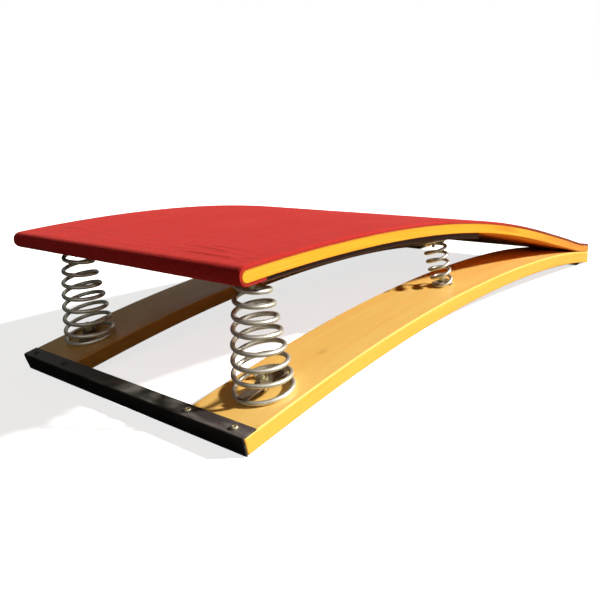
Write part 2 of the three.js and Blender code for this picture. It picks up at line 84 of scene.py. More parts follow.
# Springs. base and top are (x, y) of the seats; lean is (roll, tilt) of the coils in radians;
# turns[side] lists (winding angle in degrees, height above the first point).
# strap_lag is in degrees. The hole, strap, bolt, washer and nut sizes are for the rail end,
# those named top_ for the deck end; *_af is a nut's width across flats.
FRONT = SimpleNamespace(
    wire=7.6, base=(235, -499), top=(232, -502), base_r=44.5, top_r=21.6, bulge=10.2,
    wound=-1, lean=(0.0, 0.0),
    turns={
        1: [(103, 0), (403, 24), (763, 45), (1123, 68), (1483, 92), (1843, 112),
            (2203, 134), (2563, 154), (2755, 169.4)],
        -1: [(239, 0), (389, 12), (749, 34), (1109, 58), (1469, 80), (1829, 102),
             (2189, 124), (2549, 147), (2850, 169.4)]},
    counterbore=12, shelf=-18, bolt_r=5, bolt_up=17, pitch=1.5,
    strap_lag=13, strap_t=3, strap_w=20, washer_r=13, nut_af=17, nut_h=8.4,
    top_strap_w=11, top_strap_over=0.5, top_bolt_r=4, top_nut_af=13, top_nut_h=6.5)
REAR_TURNS = [(-71, 0), (43, 10.5), (403, 28.3), (763, 46.1), (1123, 63.9), (1483, 81.7),
              (1663, 90.6), (1790, 100)]
REAR = SimpleNamespace(
    wire=6.0, base=(239, -3), top=(232.5, -18), base_r=17.9, top_r=20.2, bulge=0.0,
    wound=1, lean=(0.123, 0.184), turns={1: REAR_TURNS, -1: REAR_TURNS},
    counterbore=10, shelf=-19, bolt_r=4, bolt_up=12, pitch=1.25,
    strap_lag=19, strap_t=2, strap_w=12, washer_r=9, nut_af=13, nut_h=6.5,
    top_strap_w=9, top_strap_over=0, top_bolt_r=3, top_nut_af=10, top_nut_h=5)
SPRINGS = {"front": FRONT, "rear": REAR}
FLAT_COIL = 258.0             # degrees of flat coil wound beyond each end of the table
STEPS_PER_TURN = 48
TOP_STRAP_T = 2


# ---------------------------------------------------------------- driving curves
def rail_z(y):
    s = y / HALF
    return (1 - s * s) * sum(k * s ** i for i, k in enumerate(ARCH))


def deck_curve(y):
    s = y / HALF
    return sum(k * s ** i for i, k in enumerate(DECK))


def rail_angle(y):
    return math.atan(rail_z(y + 0.5) - rail_z(y - 0.5))


def deck_angle(y):
    return math.atan(deck_curve(y + 0.5) - deck_curve(y - 0.5))


def offset(y, z, angle, distance):
    """The point at a distance along the normal of a slope."""
    return y - distance * math.sin(angle), z + distance * math.cos(angle)


def seat_on_rail(y):
    """(y, z, angle) of the rail's top face."""
    under = y
    for _ in range(12):
        under = y + RAIL_T * math.sin(rail_angle(under))
    angle = rail_angle(under)
    return y, rail_z(under) + RAIL_T * math.cos(angle), angle


def deck_z(y):
    """Deck underside; near the low end it rests on the rails."""
    if y < HINGE - 8:
        return deck_curve(y)
    return max(deck_curve(y), seat_on_rail(y)[1] + SEAT_GAP)


def deck_point(y, distance):
    return offset(y, deck_z(y), deck_angle(y), distance)


def seat_under_deck(y):
    """(y, z, angle) of the batten's lower face."""
    return (*deck_point(y, -(BATTEN_T + GAP)), deck_angle(y))


def rail_height(y, z):
    """Height of a point above the rail's lower face, square to it."""
    under = y
    for _ in range(8):
        angle = rail_angle(under)
        under = y + (z - rail_z(under)) * math.sin(angle) * math.cos(angle)
    return (z - rail_z(under)) / math.cos(rail_angle(under))


def deck_height(y, z):
    """Height of a point above the deck's lower face, square to it."""
    under = min(max(y, -560.0), 590.0)
    for _ in range(6):
        angle = deck_angle(under)
        under = y + (z - deck_z(under)) * math.sin(angle) * math.cos(angle)
        under = min(max(under, -572.0), 599.0)
    return (z - deck_z(under)) * math.cos(deck_angle(under))


def end_square(points):
    """Bring the last point of an upper face back along its segment to y = HALF."""
    (y0, z0), (y1, z1) = points[-2:]
    return points[:-1] + [(HALF, z0 + (HALF - y0) / (y1 - y0) * (z1 - z0))]


TOE_RUN = HALF / 9
TOE = math.atan2(rail_z(-HALF + TOE_RUN) - rail_z(-HALF), TOE_RUN)      # slope of the rail's toe
NOSE_ANGLE = deck_angle(-575)


def wobble(x, y, seed):
    """A smooth, repeatable wobble in -1..1 made of a few sine waves."""
    return (np.sin(x * 1.0 + y * 0.37 + seed)
            + np.sin(-x * 0.61 + y * 1.13 + 2.1 * seed + 1.3)
            + np.sin(x * 1.71 - y * 0.83 + 3.7 * seed + 0.4)
            + np.sin(x * 0.29 + y * 1.93 + 1.9 * seed + 2.6)) / 4.0


# ---------------------------------------------------------------- shader tools
def srgb(*channels):
    """Linear RGBA from 0..255 sRGB."""
    parts = [c / 255.0 for c in channels]
    return tuple(p / 12.92 if p <= 0.04045 else ((p + 0.055) / 1.055) ** 2.4
                 for p in parts) + (1.0,)


class Nodes:
    """A short way to write a node tree: each call adds a node and returns one output."""

    def __init__(self, owner):
        owner.use_nodes = True
        self.tree = owner.node_tree
        self.tree.nodes.clear()

    def put(self, socket, value):
        if isinstance(value, bpy.types.NodeSocket):
            self.tree.links.new(value, socket)
        else:
            socket.default_value = value

    def node(self, kind, inputs=None, out=0, **props):
        made = self.tree.nodes.new("ShaderNode" + kind)
        for key, value in props.items():
            setattr(made, key, value)
        for key, value in (inputs or {}).items():
            self.put(made.inputs[key], value)
        return made.outputs[out]


class Surface(Nodes):
    """A material with one Principled shader."""

    def __init__(self, name):
        self.material = bpy.data.materials.new(name)
        super().__init__(self.material)
        self.output = self.tree.nodes.new("ShaderNodeOutputMaterial")
        self.bsdf = self.tree.nodes.new("ShaderNodeBsdfPrincipled")
        self.put(self.output.inputs[0], self.bsdf.outputs[0])

    def finish(self, **values):
        for key, value in values.items():
            self.put(self.bsdf.inputs[key.replace("_", " ")], value)
        return self.material

    def grain(self):
        return self.node("Attribute", out="Vector", attribute_name="grain")

    def place(self):
        return self.node("TexCoord", out="Object")

    def normal(self, kind="Normal"):
        return self.node("NewGeometry", out=kind)

    def axis(self, vector, name):
        return self.node("SeparateXYZ", {0: vector}, out=name)

    def vector(self, operation, a, b, out=0):
        return self.node("VectorMath", {0: a, 1: b}, out, operation=operation)

    def noise(self, vector, scale=1.0, stretch=None, detail=3.0, rough=0.5, distort=0.0):
        if stretch:
            vector = self.vector("MULTIPLY", vector, stretch)
        return self.node("TexNoise", {"Vector": vector, "Scale": scale, "Detail": detail,
                                      "Roughness": rough, "Distortion": distort})

    def calc(self, operation, a, b=0.0):
        return self.node("Math", {0: a, 1: b, 2: 0.0}, operation=operation)

    def add(self, a, b):
        return self.calc("ADD", a, b)

    def sub(self, a, b):
        return self.calc("SUBTRACT", a, b)

    def mul(self, a, b):
        return self.calc("MULTIPLY", a, b)

    def span(self, value, lo, hi, to=(0.0, 1.0)):
        """Smooth step from to[0] at lo to to[1] at hi."""
        return self.node("MapRange", {"Value": value, "From Min": lo, "From Max": hi,
                                      "To Min": to[0], "To Max": to[1]},
                         interpolation_type="SMOOTHSTEP")

    def mix(self, amount, under, over):
        return self.node("Mix", {0: amount, 6: under, 7: over}, out=2, data_type="RGBA")

    def bump(self, height, strength, distance):
        return self.node("Bump", {"Height": height, "Strength": strength,
                                  "Distance": distance})


# ---------------------------------------------------------------- materials
def wood(name, face, ply, gloss=0.34, coat=0.2, ply_mm=3.05, knots=(), tail=None):
    """Lacquered laminated wood. The grain attribute holds (across, along, height above the
    lower face) in metres. face and ply are colour pairs; knots are (x, y, radius);
    tail is the brown of the low end."""
    n = Surface(name)
    grain = n.grain()
    steep = n.calc("ABSOLUTE", n.axis(n.normal(), "Z"))
    side = n.span(steep, lo=0.55, hi=0.85, to=(1, 0))

    # veneer on the broad faces: long soft figure, finer pores
    warp = n.noise(grain, stretch=(6, 1.6, 6), detail=2)
    figure = n.noise(grain, stretch=(46, 1.9, 46), detail=5, rough=0.6, distort=0.35)
    fine = n.noise(grain, stretch=(420, 9, 420), rough=0.6)
    pores = n.noise(grain, stretch=(900, 34, 900), detail=1)
    streaks = n.add(n.mul(figure, 0.75), n.mul(fine, 0.25))
    veneer = n.mix(n.span(streaks, lo=0.36, hi=0.66), *face)
    veneer = n.mix(n.mul(n.span(pores, lo=0.6, hi=0.75), 0.16), veneer, srgb(120, 66, 20))
    veneer = n.mix(n.span(warp, lo=0.35, hi=0.7, to=(0, 0.35)), veneer, face[0])

    # laminations showing on the sides and ends
    waver = n.mul(n.noise(grain, stretch=(3, 5, 0), detail=1), 0.0006)
    layer = n.calc("DIVIDE", n.add(n.axis(grain, "Z"), waver), ply_mm * MM)
    number = n.calc("FLOOR", layer)
    depth = n.calc("FRACT", layer)
    from_middle = n.calc("ABSOLUTE", n.sub(depth, 0.5))
    glue = n.mul(n.span(from_middle, lo=0.42, hi=0.5), 0.42)
    odd = n.calc("FRACT", n.mul(number, 0.5))
    fibre = n.noise(grain, stretch=(30, 7, 620), detail=4, rough=0.6)
    ends = n.noise(grain, stretch=(700, 300, 900), detail=2, rough=0.6)
    layers = n.mix(n.span(fibre, lo=0.3, hi=0.7), *ply)
    layers = n.mix(n.mul(odd, n.span(ends, lo=0.35, hi=0.7, to=(0.10, 0.45))), layers, ply[1])
    layers = n.mix(glue, layers, srgb(176, 104, 20))
    if tail:      # browner towards the low end
        low_end_brown = n.mul(n.span(n.axis(grain, "Y"), lo=0.16, hi=0.52),
                        n.span(fibre, lo=0.25, hi=0.7, to=(0.35, 0.7)))
        layers = n.mix(low_end_brown, layers, tail)
    # broad faces take the face colours, sides the ply colours; on the rail the paler face colours
    # are partly painted sky light
    colour = n.mix(side, veneer, layers)

    for x, y, radius in knots:
        away = n.vector("SUBTRACT", grain, (x, y, 0.0))
        away = n.vector("MULTIPLY", away, (1.0, 0.55, 0.0))
        away = n.vector("DISTANCE", away, (0.0, 0.0, 0.0), out=1)
        ragged = n.add(away, n.mul(n.noise(grain, scale=400, detail=2), radius * 0.5))
        spot = n.span(ragged, lo=radius * 0.3, hi=radius * 2.0, to=(0.17, 0))
        colour = n.mix(spot, colour, srgb(110, 52, 16))

    up = n.axis(n.normal(), "Z")
    low = n.span(up, lo=-0.3, hi=-0.6)
    arris = n.mul(n.span(up, lo=0.05, hi=0.26), n.span(up, lo=0.93, hi=0.75))
    if tail:      # painted shade on the top arris under the carpet's edge, and a warmer orange underside that is painted bounce light
        colour = n.mix(n.mul(arris, 0.75), colour, srgb(158, 80, 16))
        colour = n.mix(n.mul(low, 0.45), colour, srgb(226, 116, 28))
    # no gloss left on the unlacquered underside, less on the rubbed arrises
    dull = n.calc("MAXIMUM", low, n.mul(arris, 1.0 if tail else 0.55))
    shine = n.sub(1.0, dull)
    # handling marks: dull, slightly darker patches in the lacquer
    rub = n.noise(grain, stretch=(18, 8, 18), detail=4, rough=0.65)
    colour = n.mix(n.span(rub, lo=0.62, hi=0.8, to=(0, 0.12)), colour, srgb(150, 96, 40))
    roughness = n.span(rub, lo=0.3, hi=0.75, to=(gloss - 0.04, gloss + 0.14))
    relief = n.add(n.mul(figure, 0.6), n.mul(pores, 0.25))
    relief = n.sub(relief, n.mul(n.mul(glue, side), 1.2))
    return n.finish(Base_Color=colour,
                    Roughness=n.add(roughness, n.mul(dull, 0.35)),
                    Specular_IOR_Level=n.add(n.mul(shine, 0.42), 0.08),
                    Coat_Weight=n.mul(shine, coat), Coat_Roughness=0.2,
                    Normal=n.bump(relief, strength=0.28, distance=0.0005))


def carpet_material():
    n = Surface("red_carpet")
    grain, place = n.grain(), n.place()
    lumps = n.noise(grain, scale=520, stretch=(1, 0.72, 1), rough=0.65)
    fibres = n.noise(place, scale=1900, stretch=(1, 0.45, 1), detail=2, rough=0.7, distort=0.6)
    bands = n.noise(grain, stretch=(70, 1.2, 0), detail=2)
    patch = n.noise(grain, scale=5.5, rough=0.55)
    tuft = n.node("TexVoronoi", {"Vector": n.vector("MULTIPLY", grain, (1, 0.8, 1)),
                                 "Scale": 640.0, "Randomness": 1.0}, out="Distance")
    pile = n.mix(n.span(lumps, lo=0.33, hi=0.68), srgb(172, 17, 19), srgb(208, 32, 30))
    pile = n.mix(n.span(fibres, lo=0.35, hi=0.72, to=(0, 0.45)), pile, srgb(222, 56, 50))
    pile = n.mix(n.span(tuft, lo=0.25, hi=0.75, to=(0, 0.35)), pile, srgb(142, 16, 20))
    pile = n.mix(n.span(bands, lo=0.35, hi=0.7, to=(0, 0.2)), pile, srgb(214, 46, 42))
    pile = n.mix(n.span(patch, lo=0.4, hi=0.72, to=(0, 0.22)), pile, srgb(196, 40, 42))
    # trodden-down pile where gymnasts land, towards the high end
    along = n.axis(grain, "Y")
    worn = n.mul(n.span(along, lo=-0.47, hi=-0.30), n.span(along, lo=-0.12, hi=0.12, to=(1, 0)))
    worn = n.mul(worn, n.span(patch, lo=0.42, hi=0.66, to=(0, 0.30)))
    pile = n.mix(worn, pile, srgb(196, 58, 54))
    # the cut edge is browner than the pile, more so towards the low end
    sideways = n.calc("ABSOLUTE", n.axis(n.normal("True Normal"), "X"))
    low_end_ramp = n.span(n.axis(grain, "Y"), lo=0, hi=0.34, to=(0.34, 0.92))
    cut = n.mul(n.span(sideways, lo=0.55, hi=0.85), low_end_ramp)
    pile = n.mix(cut, pile, srgb(104, 48, 28))
    backing = n.span(n.axis(grain, "Z"), lo=-0.0002, hi=0.0012, to=(0.55, 0))
    pile = n.mix(backing, pile, srgb(96, 30, 26))
    relief = n.add(n.mul(lumps, 0.6), n.add(n.mul(fibres, 0.35), n.mul(tuft, -0.5)))
    return n.finish(Base_Color=pile, Roughness=0.93, Sheen_Weight=0.14, Sheen_Roughness=0.5,
                    Sheen_Tint=srgb(255, 150, 140), Specular_IOR_Level=0.18,
                    Normal=n.bump(relief, strength=0.75, distance=0.0009))


def black_material():
    n = Surface("black_paint")
    place = n.place()
    blot = n.noise(place, stretch=(11, 34, 30), detail=4, rough=0.55, distort=0.9)
    grit = n.noise(place, scale=900, detail=2, rough=0.6)
    scratch = n.noise(place, stretch=(60, 900, 900), rough=0.7, distort=0.5)
    up = n.span(n.axis(n.normal(), "Z"), lo=0.35, hi=0.8)
    x = n.axis(place, "X")
    middle = n.mul(n.span(x, lo=-0.16, hi=-0.05), n.span(x, lo=0.33, hi=0.22))
    rub = n.mul(n.mul(n.span(blot, lo=0.47, hi=0.60), up), n.add(n.mul(middle, 0.85), 0.12))
    paint = n.mix(n.span(grit, lo=0.3, hi=0.7), srgb(12, 11, 12), srgb(21, 20, 20))
    # dust and wear dull the top face
    dust = n.mix(n.span(x, lo=0.10, hi=0.27), srgb(78, 80, 74), srgb(102, 94, 94))
    paint = n.mix(n.mul(up, n.span(blot, lo=0.32, hi=0.62, to=(0.45, 1))), paint, dust)
    paint = n.mix(n.mul(rub, 0.7), paint, srgb(112, 110, 104))
    scored = n.mul(n.mul(n.span(scratch, lo=0.66, hi=0.74), up), 0.45)
    paint = n.mix(scored, paint, srgb(128, 128, 124))
    # paint worn off the edges, where a bevelled normal differs from the true one
    bevel = n.node("Bevel", {"Radius": 0.0012})
    wear = n.vector("DISTANCE", bevel, n.normal(), out=1)
    wear = n.mul(n.span(wear, lo=0.12, hi=0.4), n.span(blot, lo=0.45, hi=0.6, to=(0, 0.6)))
    paint = n.mix(wear, paint, srgb(150, 148, 142))
    relief = n.add(n.mul(grit, 0.5), n.mul(blot, 0.4))
    return n.finish(Base_Color=paint, Metallic=0.0, Specular_IOR_Level=0.4,
                    Roughness=n.span(blot, lo=0.35, hi=0.6, to=(0.34, 0.62)),
                    Normal=n.bump(relief, strength=0.3, distance=0.0004))


def steel(name, a, b, stain, rough, metallic, lengthwise=False):
    """Steel clouded between colours a and b; lengthwise draws its lines along the grain."""
    n = Surface(name)
    place = n.place()
    cloud = n.noise(place, scale=55, detail=4, rough=0.6)
    spark = n.noise(place, scale=1400, detail=2, rough=0.6)
    if lengthwise:
        drawn = n.noise(n.grain(), stretch=(900, 12, 900), detail=2, rough=0.6)
    else:
        drawn = n.noise(place, stretch=(500, 500, 3000), detail=2, rough=0.6)
    colour = n.mix(n.span(cloud, lo=0.32, hi=0.68), a, b)
    colour = n.mix(n.span(spark, lo=0.4, hi=0.75, to=(0, 0.22)), colour, srgb(246, 246, 240))
    spots = n.noise(place, scale=140, detail=4, rough=0.7)
    colour = n.mix(n.span(spots, lo=0.58, hi=0.76, to=(0, 0.45)), colour, stain)
    roughness = n.span(cloud, lo=0.3, hi=0.7, to=(rough - 0.06, rough + 0.1))
    relief = n.add(n.mul(drawn, 0.6), n.mul(spark, 0.4))
    return n.finish(Base_Color=colour, Metallic=metallic,
                    Roughness=n.add(roughness, n.mul(drawn, 0.08)),
                    Normal=n.bump(relief, strength=0.16, distance=0.0002))


def rubber(name, dusty):
    n = Surface(name)
    place = n.place()
    grit = n.noise(place, scale=700, rough=0.6)
    dust = n.noise(place, stretch=(40, 90, 200), rough=0.6)
    colour = n.mix(n.span(grit, lo=0.3, hi=0.7), srgb(20, 20, 21), srgb(36, 35, 34))
    colour = n.mix(n.span(dust, lo=0.75 - dusty * 0.7, hi=0.75, to=(0, dusty)), colour,
                   n.mix(dusty, srgb(84, 80, 72), srgb(168, 148, 112)))
    return n.finish(Base_Color=colour, Roughness=0.85, Specular_IOR_Level=0.3,
                    Normal=n.bump(grit, strength=0.4, distance=0.0004))


# The rail's face colours are paler and less saturated than its ply: partly the veneer, partly
# painted sky light on the tops.
RAIL_WOOD = wood("rail_wood", face=(srgb(255, 211, 120), srgb(255, 196, 98)),
                 ply=(srgb(250, 192, 80), srgb(240, 175, 64)),
                 knots=((0.236, -0.366, 0.0060), (0.264, -0.286, 0.0022), (0.262, 0.42, 0.0022)))
DECK_WOOD = wood("deck_wood", face=(srgb(232, 164, 70), srgb(208, 132, 48)),
                 ply=(srgb(250, 180, 44), srgb(240, 158, 28)), tail=srgb(204, 124, 58))
# The battens' dark brown is painted shade: they sit under the deck's overhang.
BATTEN_WOOD = wood("batten_wood", face=(srgb(92, 56, 30), srgb(66, 38, 20)),
                   ply=(srgb(84, 50, 26), srgb(60, 34, 17)), gloss=0.45, coat=0.1, ply_mm=4.0)
CARPET = carpet_material()
BLACK = black_material()
SPRING_STEEL = steel("spring_steel", srgb(220, 218, 208), srgb(190, 187, 172),
                     stain=srgb(150, 138, 112), rough=0.33, metallic=0.72, lengthwise=True)
ZINC = steel("zinc_steel", srgb(214, 206, 172), srgb(186, 176, 136),
             stain=srgb(150, 120, 70), rough=0.30, metallic=0.85)
# Dark brown steel for the straps and washers on the rails: painted shade, darkened to look like
# the shadows inside the coils.
DARK = steel("dark_steel", srgb(104, 80, 50), srgb(78, 58, 36),
             stain=srgb(60, 44, 28), rough=0.5, metallic=0.35)
# A darker copy for the straps under the deck: painted shade of the deck above them.
DARK_STEEL_SHADED = steel("dark_steel_shaded", srgb(80, 60, 38), srgb(56, 42, 26),
                  stain=srgb(44, 32, 20), rough=0.5, metallic=0.35)
RUBBER = rubber("rubber", dusty=0.35)
RUBBER_DUSTY = rubber("rubber_dusty", dusty=0.85)


# ---------------------------------------------------------------- mesh tools
def link(obj):
    bpy.context.scene.collection.objects.link(obj)
    return obj


def outward_mesh(name, verts, faces, grain=None):
    """A mesh from millimetres, with its faces turned outwards."""
    mesh = bpy.data.meshes.new(name)
    mesh.from_pydata((np.asarray(verts, float) * MM).tolist(), [], faces)
    if grain is not None:
        layer = mesh.attributes.new("grain", "FLOAT_VECTOR", "POINT")
        layer.data.foreach_set("vector", (grain * MM).astype(np.float32).ravel())
    bm = bmesh.new()
    bm.from_mesh(mesh)
    bmesh.ops.recalc_face_normals(bm, faces=bm.faces)
    if bm.calc_volume(signed=True) < 0:
        bmesh.ops.reverse_faces(bm, faces=bm.faces)
    bm.to_mesh(mesh)
    bm.free()
    return mesh


def piece(name, solid, material, node, body=None, frame=None, grain=None, sharp=38.0):
    """One closed object from (verts, faces): smooth, with corners over sharp degrees kept."""
    verts, faces = solid
    if frame is not None:
        verts = placed(frame, verts)
    verts = np.asarray(verts, float)
    grain = np.asarray(verts if grain is None else grain, float)
    mesh = outward_mesh(name, verts + (0.0, SHIFT, 0.0), faces, grain)
    mesh.shade_smooth()
    mesh.set_sharp_from_angle(angle=math.radians(sharp))
    mesh.materials.append(material)
    obj = link(bpy.data.objects.new(name, mesh))
    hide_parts(node)
    if body:
        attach(obj, body)
    return obj


def fitting(name, solid, frame, node, body="base", material=ZINC):
    piece(name, solid, material, node, body, frame)


def fillet(points, radii, steps=5, guard=0.6):
    """A closed outline with some corners rounded: radii maps a point's index to its radius.
    Guard points just outside each arc keep the shading flat beyond it."""
    out = []
    for i, point in enumerate(points):
        corner = np.array(point, float)
        radius = radii.get(i, 0.0)
        if radius <= 0:
            out.append(corner)
            continue
        back = np.array(points[i - 1], float) - corner
        ahead = np.array(points[(i + 1) % len(points)], float) - corner
        back, ahead = back / np.linalg.norm(back), ahead / np.linalg.norm(ahead)
        half = math.acos(max(-1.0, min(1.0, float(back @ ahead)))) / 2
        reach = radius / math.tan(half)
        middle = back + ahead
        centre = corner + middle / np.linalg.norm(middle) * (radius / math.sin(half))
        start = corner + back * reach - centre
        end = corner + ahead * reach - centre
        a0, a1 = math.atan2(start[1], start[0]), math.atan2(end[1], end[0])
        sweep = (a1 - a0 + math.pi) % (2 * math.pi) - math.pi
        out.append(corner + back * (reach + guard))
        for k in range(steps + 1):
            a = a0 + sweep * k / steps
            out.append(centre + radius * np.array([math.cos(a), math.sin(a)]))
        out.append(corner + ahead * (reach + guard))
    return np.array(out)


def inward(loop):
    """Unit normals pointing into a closed outline."""
    edge = np.roll(loop, -1, 0) - loop
    edge /= np.maximum(np.linalg.norm(edge, axis=1), 1e-9)[:, None]
    along = edge + np.roll(edge, 1, 0)
    along /= np.maximum(np.linalg.norm(along, axis=1), 1e-9)[:, None]
    u, v = loop.T
    area = 0.5 * np.sum(u * np.roll(v, -1) - np.roll(u, -1) * v)
    return np.stack([-along[:, 1], along[:, 0]], 1) * (1 if area > 0 else -1)


def extrude(loop, a, b, radius, steps=4, between=(), guard=0.6):
    """Rings of an outline pushed from a to b with rounded ends, as an array of
    (rings, points, (push, u, v))."""
    loop = np.asarray(loop, float)
    normals = inward(loop)
    start = [(a, radius + guard)]         # (push, how far the outline is drawn in)
    start += [(a + radius * (1 - math.cos(t)), radius * (1 - math.sin(t)))
              for t in np.linspace(0, math.pi / 2, steps + 1)]
    start.append((a + radius + guard, 0.0))
    end = [(a + b - push, inset) for push, inset in reversed(start)]
    margin = radius + 2 * guard
    middle = [(push, 0.0) for push in between if a + margin < push < b - margin]
    return np.stack([np.column_stack([np.full(len(loop), push), loop + normals * inset])
                     for push, inset in start + middle + end])


def skin(rings):
    """(verts, faces) of a stack of rings, closed at both ends."""
    count, size = rings.shape[:2]
    faces = [(i * size + j, i * size + (j + 1) % size,
              (i + 1) * size + (j + 1) % size, (i + 1) * size + j)
             for i in range(count - 1) for j in range(size)]
    faces += [tuple(range(size))[::-1], tuple((count - 1) * size + j for j in range(size))]
    return rings.reshape(-1, 3), faces


def sloped_frame(x, y, z, angle):
    """Matrix for a place on a sloping face: local Z is the face's normal."""
    c, s = math.cos(angle), math.sin(angle)
    return np.array([[1, 0, 0, x], [0, c, -s, y], [0, s, c, z]], float)


def toe_frame(x, along):
    """On the lower face of the rails' toe, some way back from its tip."""
    return sloped_frame(x, -HALF + along * math.cos(TOE), along * math.sin(TOE), TOE)


def placed(frame, points):
    points = np.asarray(points, float).reshape(-1, 3)
    return points @ frame[:, :3].T + frame[:, 3]


def lathe(profile, n):
    """Closed turned solid from (radius, height) points; the first and last are on the axis."""
    angles = np.linspace(0, 2 * math.pi, n, endpoint=False)
    inner = profile[1:-1]
    verts = [(0, 0, profile[0][1])]
    for r, h in inner:
        verts += [(r * math.cos(a), r * math.sin(a), h) for a in angles]
    verts.append((0, 0, profile[-1][1]))
    top = 1 + (len(inner) - 1) * n
    faces = []
    for j in range(n):
        k = (j + 1) % n
        faces.append((0, 1 + k, 1 + j))
        for i in range(1, top, n):
            faces.append((i + j, i + k, i + n + k, i + n + j))
        faces.append((top + j, top + k, len(verts) - 1))
    return np.array(verts, float), faces


def ring_solid(sections):
    """A ring from closed (radius, height) sections, evenly spaced round the axis."""
    n, size = len(sections), len(sections[0])
    angles = np.linspace(0, 2 * math.pi, n, endpoint=False)
    verts = [(r * math.cos(a), r * math.sin(a), h)
             for a, section in zip(angles, sections) for r, h in section]
    faces = [(j * size + i, j * size + (i + 1) % size,
              ((j + 1) % n) * size + (i + 1) % size, ((j + 1) % n) * size + i)
             for j in range(n) for i in range(size)]
    return np.array(verts, float), faces


def hex_nut(across, bore, z0, z1, n=72):
    """A nut of a width across flats, its corners chamfered at 28 degrees."""
    sections = []
    flat_r = across / 2
    face_r = flat_r * 0.965
    for j in range(n):
        turn = (math.degrees(2 * math.pi * j / n) + 30) % 60 - 30   # corners at multiples of 60
        r = flat_r / math.cos(math.radians(30 - abs(turn)))
        drop = max(0.0, r - flat_r * 0.985) * math.tan(math.radians(28))
        sections.append([(bore, z0 + 0.5), (bore + 0.5, z0), (face_r, z0),
                         (r - 0.12, z0 + drop), (r, z0 + drop + 0.15),
                         (r, z1 - drop - 0.15), (r - 0.12, z1 - drop),
                         (face_r, z1), (bore + 0.7, z1), (bore, z1 - 0.7)])
    return ring_solid(sections)


def washer(r, bore, z0, z1):
    e = (z1 - z0) * 0.28      # chamfer
    return ring_solid([[(bore, z0), (r - e, z0), (r, z0 + e), (r, z1 - e), (r - e, z1),
                        (bore + e, z1), (bore, z1 - e)]] * 48)


def threaded(r, z0, z1, pitch, deep):
    """Profile points of a thread from z0 up to z1."""
    out, z = [], z0
    while z + pitch <= z1:
        out += [(r, z), (r, z + pitch * 0.2), (r - deep, z + pitch * 0.55),
                (r - deep, z + pitch * 0.65)]
        z += pitch
    return out


def strap(length, width, z0, z1, rounding, turn):
    """A flat bar lying across the axis, turned about it by an angle."""
    h, w = length / 2, width / 2
    loop = fillet([(-h, -w), (h, -w), (h, w), (-h, w)], {i: min(w * 0.55, 4.0) for i in range(4)},
                  steps=6, guard=0.4)
    verts, faces = skin(extrude(loop, z0, z1, rounding, steps=3, guard=0.3))
    z, x, y = verts.T
    c, s = math.cos(turn), math.sin(turn)
    return np.column_stack([x * c - y * s, x * s + y * c, z]), faces


def bolt_hole(frame, wide, z0, shelf, narrow, z1):
    """A cutter for a bolt hole, counterbored from z0 up to its shelf."""
    verts, faces = lathe([(0, z0), (wide, z0), (wide, shelf), (narrow, shelf), (narrow, z1),
                          (0, z1)], 48)
    return placed(frame, verts), faces


def drilled(solid, cutters):
    """The solid with each cutter taken out of it, all as (verts, faces)."""
    made = [link(bpy.data.objects.new(f"drill_{i}", outward_mesh(f"drill_{i}", *part)))
            for i, part in enumerate([solid] + cutters)]
    for cutter in made[1:]:
        cut = made[0].modifiers.new("drill", "BOOLEAN")
        cut.operation = "DIFFERENCE"
        cut.solver = "EXACT"
        cut.object = cutter
    result = made[0].evaluated_get(bpy.context.evaluated_depsgraph_get())
    mesh = result.to_mesh()
    verts = np.array([v.co[:] for v in mesh.vertices], float) / MM
    faces = [tuple(face.vertices) for face in mesh.polygons]
    result.to_mesh_clear()
    for obj in made:
        data = obj.data
        bpy.data.objects.remove(obj)
        bpy.data.meshes.remove(data)
    return verts, faces


# ---------------------------------------------------------------- rails and their feet
def rail_outline():
    stations = [-HALF] + list(np.arange(-588, 589, 12.0)) + [HALF]
    low = [(y, rail_z(y)) for y in stations]
    high = [offset(y, z, TOE if i == 0 else rail_angle(y), RAIL_T)
            for i, (y, z) in enumerate(low)]
    k = len(low)
    return fillet(low + end_square(high)[::-1], {i: 4.2 for i in (0, k - 1, k, 2 * k - 1)})


def rail_holes(sx):
    """Bolt holes, let in from below for the heads and nuts."""
    holes = [bolt_hole(toe_frame(sx * x, ANGLE_BOLT_Y), wide=8, z0=-6, shelf=8, narrow=3.3, z1=40)
             for x in ANGLE_BOLTS.values()]
    for spring in SPRINGS.values():
        x, y = spring.base
        holes.append(bolt_hole(sloped_frame(sx * x, *seat_on_rail(y)), wide=spring.counterbore,
                               z0=-40, shelf=spring.shelf, narrow=spring.bolt_r + 0.4, z1=5))
    holes += [bolt_hole(sloped_frame(sx * x, *seat_on_rail(HEEL_Y)), wide=7,
                        z0=-45, shelf=HEEL_SHELF, narrow=3.3, z1=5)
              for x in HEEL_SCREWS.values()]
    return holes


def build_rail(side, sx):
    x0 = HALF_W - RAIL_W if sx > 0 else -HALF_W
    between = np.arange(x0 + 10, x0 + RAIL_W - 5, 20)
    board = skin(extrude(rail_outline(), x0, x0 + RAIL_W, 3.2, steps=5, between=between))
    verts, faces = drilled(board, rail_holes(sx))
    heights = [rail_height(y, z) for y, z in verts[:, 1:]]
    # the left rail takes its figure from another part of the wood
    grain = np.column_stack([verts[:, 0] + (700 if sx < 0 else 0), verts[:, 1], heights])
    piece(f"rail_board_{side}", (verts, faces), RAIL_WOOD, f"rail_{side}", "base",
          grain=grain)

    # rubber wedges between the floor and both ends
    inset = 14
    x0 += inset
    width = RAIL_W - 2 * inset
    for end, y0, y1, material in (("front", -596.0, -562.0, RUBBER),
                                  ("rear", 562.0, 596.0, RUBBER_DUSTY)):
        foot = [(y0 + (y1 - y0) * i / 12, 0.0) for i in range(13)]
        foot += [(y, rail_z(y) - 0.35) for y in np.linspace(y1, y0, 9)]
        rings = extrude(foot, x0, x0 + width, 0.5, steps=3, guard=0.3,
                        between=np.arange(x0 + 4, x0 + width - 2, 7))
        piece(f"rubber_foot_{end}_{side}", skin(rings), material,
              f"foot_{end}_{side}", "base")


for side, sx in SIDES.items():
    build_rail(side, sx)


